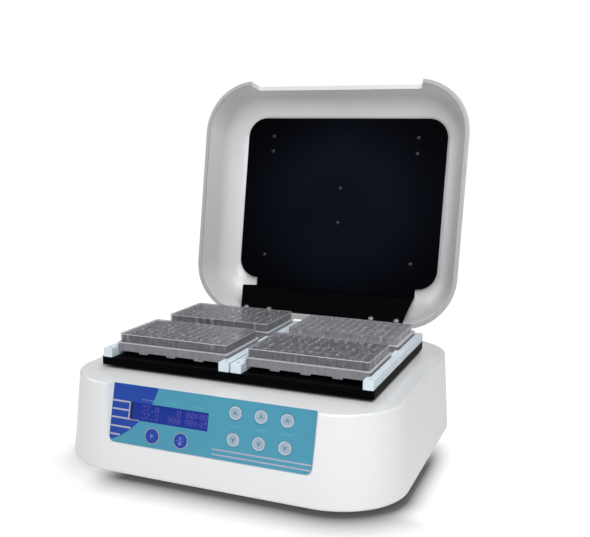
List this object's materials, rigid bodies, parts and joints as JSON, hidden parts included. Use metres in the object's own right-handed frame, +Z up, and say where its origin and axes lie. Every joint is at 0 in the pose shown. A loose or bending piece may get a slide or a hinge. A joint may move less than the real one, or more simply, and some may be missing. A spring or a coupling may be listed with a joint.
{
  "type": "microplate incubator",
  "caption": "Bench incubator for microplates: white tapered base with a leaning keypad panel, an orbiting heated platform under a hinged domed lid.",
  "frame": {"origin": "on the standing surface, under the middle of the whole outline with the lid open", "axes": "+Z up, -Y towards the front panel, +X to the right seen from the front"},
  "size_m": [0.3564, 0.4301, 0.4043],
  "materials": {
    "housing_white": "smooth white gloss",
    "bottom_grey": "satin light grey",
    "foot_rubber": "matt black",
    "zinc_steel": "bright zinc",
    "panel_print": "printed film in dark blue and cyan",
    "display_blue": "backlit blue window",
    "module_black": "matt black",
    "board_green": "satin green",
    "supply_metal": "plain sheet",
    "chassis_aluminium": "milled",
    "motor_metal": "dark grey paint",
    "bearing_steel": "ground steel",
    "weight_iron": "dark phosphated",
    "fitting_black": "satin black",
    "rocker_red": "gloss red",
    "key_blue": "dark blue film",
    "key_silver": "silver grey film",
    "platform_black": "black anodised",
    "heater_film": "orange-brown silicone",
    "insulation_foam": "light foam",
    "rail_blue_white": "pale blue-white",
    "sensor_brass": "plain brass",
    "clear_plate": "clear polystyrene"
  },
  "bodies": {
    "base": {"base_housing": "housing_white", "bottom_plate": "bottom_grey", "rubber_feet": "foot_rubber", "bottom_screws": "zinc_steel", "panel_overlay": "panel_print", "lcd_window": "display_blue", "lcd_module": "module_black", "control_board": "board_green", "power_supply": "supply_metal", "drive_chassis": "chassis_aluminium", "chassis_screws": "zinc_steel", "drive_motor": "motor_metal", "bearing_blocks": "chassis_aluminium", "shaft_bearings": "bearing_steel", "hinge_bases": "zinc_steel", "hinge_pins": "zinc_steel", "hinge_screws": "zinc_steel", "power_inlet": "fitting_black", "fuse_holder": "fitting_black", "switch_bezel": "fitting_black"},
    "rocker": {"power_rocker": "rocker_red"},
    "crank": {"eccentric_shaft": "bearing_steel", "counterweight": "weight_iron"},
    "platform": {"platform_slab": "platform_black", "platform_hub": "chassis_aluminium", "heater_mat": "heater_film", "platform_bearings": "bearing_steel", "rail_outer_left": "rail_blue_white", "rail_outer_right": "rail_blue_white", "rail_inner_left": "rail_blue_white", "rail_inner_right": "rail_blue_white", "rail_screws": "zinc_steel", "temperature_sensor": "sensor_brass"},
    "lid": {"lid_shell": "housing_white", "lid_inner_plate": "platform_black", "lid_plate_screws": "zinc_steel", "lid_heater_mat": "heater_film", "lid_insulation": "insulation_foam", "lid_bracket": "platform_black", "bracket_screws": "zinc_steel", "hinge_leaves": "zinc_steel"},
    "start_button": {"start_key": "key_blue"},
    "mode_button": {"mode_key": "key_blue"},
    "up_button_1": {"up_key_1": "key_silver"},
    "up_button_2": {"up_key_2": "key_silver"},
    "up_button_3": {"up_key_3": "key_silver"},
    "down_button_1": {"down_key_1": "key_silver"},
    "down_button_2": {"down_key_2": "key_silver"},
    "down_button_3": {"down_key_3": "key_silver"},
    "idler_1": {"idler_crank_1": "bearing_steel"},
    "idler_2": {"idler_crank_2": "bearing_steel"},
    "idler_3": {"idler_crank_3": "bearing_steel"},
    "idler_4": {"idler_crank_4": "bearing_steel"},
    "microplate_front_left": {"plate_front_left": "clear_plate"},
    "microplate_front_right": {"plate_front_right": "clear_plate"},
    "microplate_rear_left": {"plate_rear_left": "clear_plate"},
    "microplate_rear_right": {"plate_rear_right": "clear_plate"},
    "microplate_cover_front_left": {"cover_front_left": "clear_plate"},
    "microplate_cover_front_right": {"cover_front_right": "clear_plate"},
    "microplate_cover_rear_left": {"cover_rear_left": "clear_plate"}
  },
  "joints": [
    {"name": "lid_hinge", "type": "hinge", "parent": "base", "child": "lid", "pos_m": [0, 0.10512, 0.0949], "axis": [-1, 0, 0], "range_deg": [-98.36, 0]},
    {"name": "rocker_tilt", "type": "hinge", "parent": "base", "child": "rocker", "pos_m": [0.09, 0.12318, 0.044], "axis": [-1, 0, 0], "range_deg": [0, 20]},
    {"name": "crank_spin", "type": "hinge", "parent": "base", "child": "crank", "pos_m": [0, -0.04439, 0.06], "axis": [0, 0, 1], "continuous": true},
    {"name": "platform_orbit", "type": "hinge", "parent": "crank", "child": "platform", "pos_m": [0.0015, -0.04439, 0.093], "axis": [0, 0, 1], "continuous": true},
    {"name": "idler_spin_1", "type": "hinge", "parent": "base", "child": "idler_1", "pos_m": [-0.1, -0.11639, 0.06], "axis": [0, 0, 1], "continuous": true},
    {"name": "idler_spin_2", "type": "hinge", "parent": "base", "child": "idler_2", "pos_m": [-0.1, 0.02762, 0.06], "axis": [0, 0, 1], "continuous": true},
    {"name": "idler_spin_3", "type": "hinge", "parent": "base", "child": "idler_3", "pos_m": [0.1, -0.11639, 0.06], "axis": [0, 0, 1], "continuous": true},
    {"name": "idler_spin_4", "type": "hinge", "parent": "base", "child": "idler_4", "pos_m": [0.1, 0.02762, 0.06], "axis": [0, 0, 1], "continuous": true},
    {"name": "start_key_press", "type": "slide", "parent": "base", "child": "start_button", "axis": [0, 0.9774, -0.2113], "range_m": [0, 0.00045], "stiffness_N_per_m": 900},
    {"name": "mode_key_press", "type": "slide", "parent": "base", "child": "mode_button", "axis": [0, 0.9774, -0.2113], "range_m": [0, 0.00045], "stiffness_N_per_m": 900},
    {"name": "up_key_1_press", "type": "slide", "parent": "base", "child": "up_button_1", "axis": [0, 0.9774, -0.2113], "range_m": [0, 0.00045], "stiffness_N_per_m": 900},
    {"name": "up_key_2_press", "type": "slide", "parent": "base", "child": "up_button_2", "axis": [0, 0.9774, -0.2113], "range_m": [0, 0.00045], "stiffness_N_per_m": 900},
    {"name": "up_key_3_press", "type": "slide", "parent": "base", "child": "up_button_3", "axis": [0, 0.9774, -0.2113], "range_m": [0, 0.00045], "stiffness_N_per_m": 900},
    {"name": "down_key_1_press", "type": "slide", "parent": "base", "child": "down_button_1", "axis": [0, 0.9774, -0.2113], "range_m": [0, 0.00045], "stiffness_N_per_m": 900},
    {"name": "down_key_2_press", "type": "slide", "parent": "base", "child": "down_button_2", "axis": [0, 0.9774, -0.2113], "range_m": [0, 0.00045], "stiffness_N_per_m": 900},
    {"name": "down_key_3_press", "type": "slide", "parent": "base", "child": "down_button_3", "axis": [0, 0.9774, -0.2113], "range_m": [0, 0.00045], "stiffness_N_per_m": 900},
    {"name": "plate_lift_front_left", "type": "slide", "parent": "platform", "child": "microplate_front_left", "axis": [0, 0, 1], "range_m": [0, 0.1]},
    {"name": "plate_lift_front_right", "type": "slide", "parent": "platform", "child": "microplate_front_right", "axis": [0, 0, 1], "range_m": [0, 0.1]},
    {"name": "plate_lift_rear_left", "type": "slide", "parent": "platform", "child": "microplate_rear_left", "axis": [0, 0, 1], "range_m": [0, 0.1]},
    {"name": "plate_lift_rear_right", "type": "slide", "parent": "platform", "child": "microplate_rear_right", "axis": [0, 0, 1], "range_m": [0, 0.1]},
    {"name": "cover_lift_front_left", "type": "slide", "parent": "microplate_front_left", "child": "microplate_cover_front_left", "axis": [0, 0, 1], "range_m": [0, 0.06]},
    {"name": "cover_lift_front_right", "type": "slide", "parent": "microplate_front_right", "child": "microplate_cover_front_right", "axis": [0, 0, 1], "range_m": [0, 0.06]},
    {"name": "cover_lift_rear_left", "type": "slide", "parent": "microplate_rear_left", "child": "microplate_cover_rear_left", "axis": [0, 0, 1], "range_m": [0, 0.06]}
  ],
  "couplings": [
    {"joint": "platform_orbit", "follows": "crank_spin", "ratio": -1},
    {"joint": "idler_spin_1", "follows": "crank_spin", "ratio": 1},
    {"joint": "idler_spin_2", "follows": "crank_spin", "ratio": 1},
    {"joint": "idler_spin_3", "follows": "crank_spin", "ratio": 1},
    {"joint": "idler_spin_4", "follows": "crank_spin", "ratio": 1}
  ]
}
